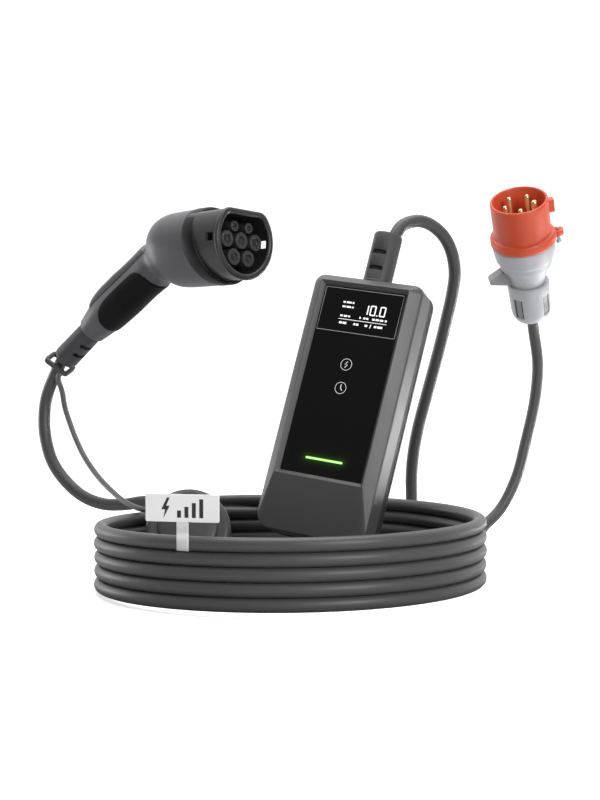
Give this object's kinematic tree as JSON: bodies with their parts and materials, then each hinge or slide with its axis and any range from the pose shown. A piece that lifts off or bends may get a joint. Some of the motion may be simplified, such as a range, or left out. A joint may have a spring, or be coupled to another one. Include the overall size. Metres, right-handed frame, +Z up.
{
  "type": "portable ev charger",
  "caption": "Portable electric car charger: slim control box with display, coiled charging cable with vehicle connector and cap, short mains lead with a round red industrial plug.",
  "frame": {"origin": "middle of the cable coil, on the floor it lies on", "axes": "+Z up, -Y towards the viewer who faces the display, +X to the right"},
  "size_m": [0.5127, 0.4717, 0.3632],
  "materials": {
    "housing_grey": "satin moulded grain",
    "rear_grey": "satin moulded grain",
    "black_rubber": "matt",
    "boot_rubber": "matt",
    "cable_jacket": "satin",
    "black_plastic": "matt",
    "panel_glass": "polished",
    "light_guide": "lit",
    "board": "solder mask",
    "component": "moulded",
    "steel": "zinc plated",
    "contact_silver": "silver plated",
    "contact_brass": "turned",
    "signal_red": "moulded",
    "carrier_red": "moulded",
    "light_grey": "moulded",
    "tab_grey": "moulded",
    "sleeve_grey": "matt",
    "tag_white": "printed card",
    "strap_clear": "translucent film"
  },
  "bodies": {
    "root": {"front_cover": "housing_grey", "rear_cover": "rear_grey", "cover_gasket": "black_rubber", "cover_screws": "steel", "glass_panel": "panel_glass", "display_module": "component", "touch_board": "board", "light_bar": "light_guide", "circuit_board": "board", "board_screws": "steel", "relays": "component", "power_supply": "component", "current_sensor": "component", "terminal_blocks": "component", "top_gland": "boot_rubber", "bottom_gland": "boot_rubber", "hanging_eye": "steel", "grip_shell_left": "housing_grey", "grip_shell_right": "housing_grey", "grip_pad": "black_rubber", "spine_bow": "boot_rubber", "nose": "black_plastic", "shoulder_ring": "black_rubber", "contact_carrier": "black_plastic", "power_contacts": "contact_silver", "signal_contacts": "contact_silver", "contact_sleeves": "sleeve_grey", "cable_boot": "boot_rubber", "tether_ring": "black_rubber", "dust_cap": "black_rubber", "lanyard": "black_rubber", "plug_shroud": "signal_red", "flange_clip": "steel", "pin_carrier": "carrier_red", "phase_pins": "contact_brass", "earth_pin": "contact_brass", "plug_body": "light_grey", "lock_tab": "tab_grey", "gland_nut": "light_grey", "cable_seal": "light_grey", "charge_tail": "cable_jacket", "charge_coil": "cable_jacket", "charge_riser": "cable_jacket", "mains_lead": "cable_jacket", "tag_strap": "strap_clear", "tag_card": "tag_white"}
  },
  "joints": []
}
